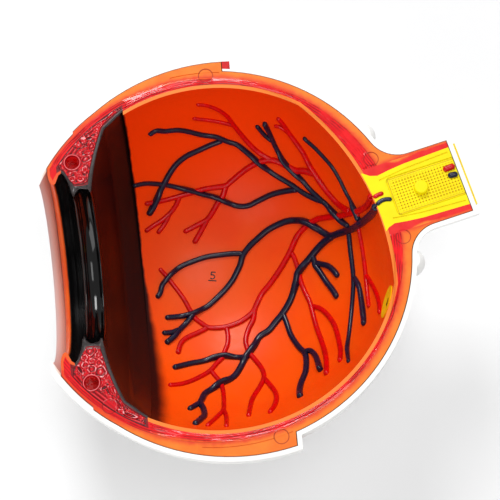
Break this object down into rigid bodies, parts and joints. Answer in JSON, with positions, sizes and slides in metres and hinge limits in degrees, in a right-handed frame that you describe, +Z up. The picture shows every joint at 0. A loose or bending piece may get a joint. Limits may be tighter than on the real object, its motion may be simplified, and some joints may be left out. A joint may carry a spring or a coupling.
{
  "type": "eye anatomy model",
  "caption": "Half of an enlarged eye model: white shell with muscle stubs, and a lift-out insert with layered cut face, bowl, vessels, lens seat and optic nerve.",
  "frame": {"origin": "under the middle of the model's bounding box, on the surface that it lies on", "axes": "+Z up through the cut face, +X towards the optic nerve, +Y towards the nose side"},
  "size_m": [0.156, 0.15, 0.0764],
  "materials": {
    "white_shell": "satin paint on a moulded shell",
    "yellow": "satin paint",
    "muscle_red": "satin paint",
    "sclera_orange": "satin paint",
    "choroid_red": "gloss paint",
    "retina_orange": "satin paint, sprayed redder towards the nerve side",
    "ciliary_pink": "satin paint on a bubbly relief",
    "pigment_black": "gloss paint",
    "limbus_orange": "satin paint",
    "artery_red": "gloss paint",
    "vein_blue": "gloss paint"
  },
  "bodies": {
    "sclera_half": {"sclera_shell": "white_shell", "nerve_end_disc": "yellow", "medial_rectus_end": "muscle_red", "lateral_rectus_end": "muscle_red", "inferior_rectus": "white_shell", "inferior_rectus_end": "muscle_red", "inferior_oblique": "white_shell", "inferior_oblique_end": "muscle_red", "vortex_vein_nasal": "white_shell", "vortex_vein_temporal": "white_shell"},
    "inner_half": {"sclera_section": "sclera_orange", "choroid": "choroid_red", "retina": "retina_orange", "ciliary_body": "ciliary_pink", "ciliary_section_nasal": "ciliary_pink", "ciliary_section_temporal": "ciliary_pink", "pigment_layer": "pigment_black", "limbus_ring": "limbus_orange", "nerve_sheath": "choroid_red", "nerve_core": "yellow", "nerve_pad": "yellow", "nerve_peg": "yellow", "central_artery": "artery_red", "central_vein": "vein_blue", "nerve_artery_end": "artery_red", "nerve_vein_end": "vein_blue", "macula": "yellow", "arteries_temporal": "artery_red", "arteries_macular": "artery_red", "arteries_nasal": "artery_red", "arteries_posterior": "artery_red", "veins_temporal": "vein_blue", "veins_macular": "vein_blue", "veins_nasal": "vein_blue", "veins_posterior": "vein_blue"}
  },
  "joints": [
    {"name": "insert_lift", "type": "slide", "parent": "sclera_half", "child": "inner_half", "axis": [0, 0, 1], "range_m": [0, 0.08]}
  ]
}
